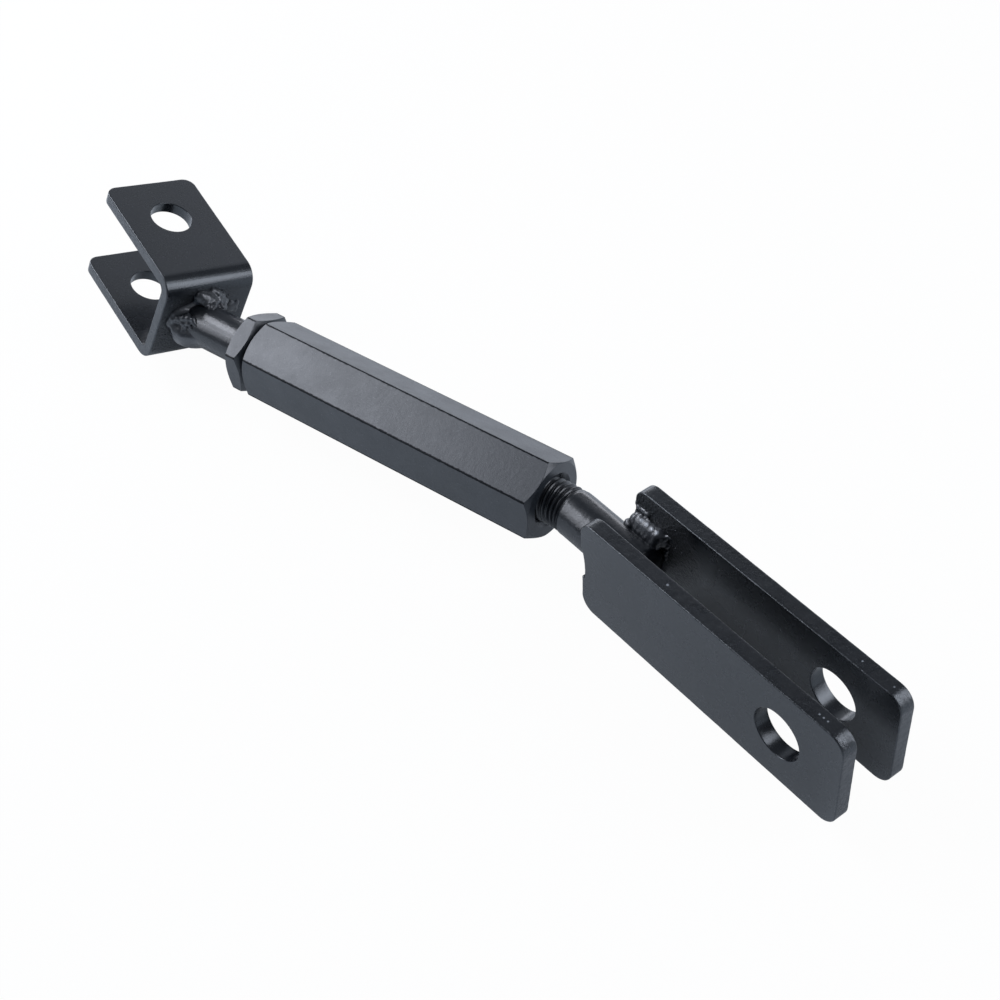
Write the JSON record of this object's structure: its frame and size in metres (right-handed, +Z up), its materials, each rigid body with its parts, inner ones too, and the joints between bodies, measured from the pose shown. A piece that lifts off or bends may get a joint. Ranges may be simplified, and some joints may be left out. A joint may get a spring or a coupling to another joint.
{
  "type": "three-point lift link",
  "caption": "Adjustable tractor lift link: a threaded hexagonal barrel with a jam nut between a bent-strip upper bracket and a two-strap lower clevis, all in black paint.",
  "frame": {"origin": "centre of the lower pin bore, midway between the two straps", "axes": "+X along the barrel axis towards the lower clevis, +Y towards the far strap, +Z up along the height of the straps"},
  "size_m": [0.4576, 0.1107, 0.0743],
  "materials": {
    "barrel_paint": "black paint, satin",
    "nut_paint": "black paint, satin",
    "rod_paint": "black paint, glossy",
    "bracket_paint": "black paint, semi-gloss",
    "strap_paint": "black paint, semi-gloss",
    "weld_paint": "black paint over rough weld, glossy"
  },
  "bodies": {
    "lower_clevis": {"lower_rod": "rod_paint", "near_strap": "strap_paint", "far_strap": "strap_paint", "far_top_bead": "weld_paint", "far_bottom_bead": "weld_paint", "near_top_bead": "weld_paint", "near_bottom_bead": "weld_paint"},
    "jam_nut": {"jam_nut": "nut_paint"},
    "barrel": {"hex_barrel": "barrel_paint"},
    "upper_end": {"upper_rod": "rod_paint", "upper_bracket": "bracket_paint", "upper_weld": "weld_paint"}
  },
  "joints": [
    {"name": "nut_travel", "type": "slide", "parent": "lower_clevis", "child": "jam_nut", "axis": [-1, 0, 0], "range_m": [0, 0.03]},
    {"name": "barrel_turn", "type": "hinge", "parent": "jam_nut", "child": "barrel", "pos_m": [-0.22138, 0.03448, -0.0028], "axis": [-1, 0, 0], "range_deg": [0, 4320]},
    {"name": "upper_travel", "type": "slide", "parent": "lower_clevis", "child": "upper_end", "axis": [-1, 0, 0], "range_m": [0, 0.06]}
  ],
  "couplings": [
    {"joint": "nut_travel", "follows": "barrel_turn", "m_per_rad": 0.00039789},
    {"joint": "upper_travel", "follows": "barrel_turn", "m_per_rad": 0.00079577}
  ]
}
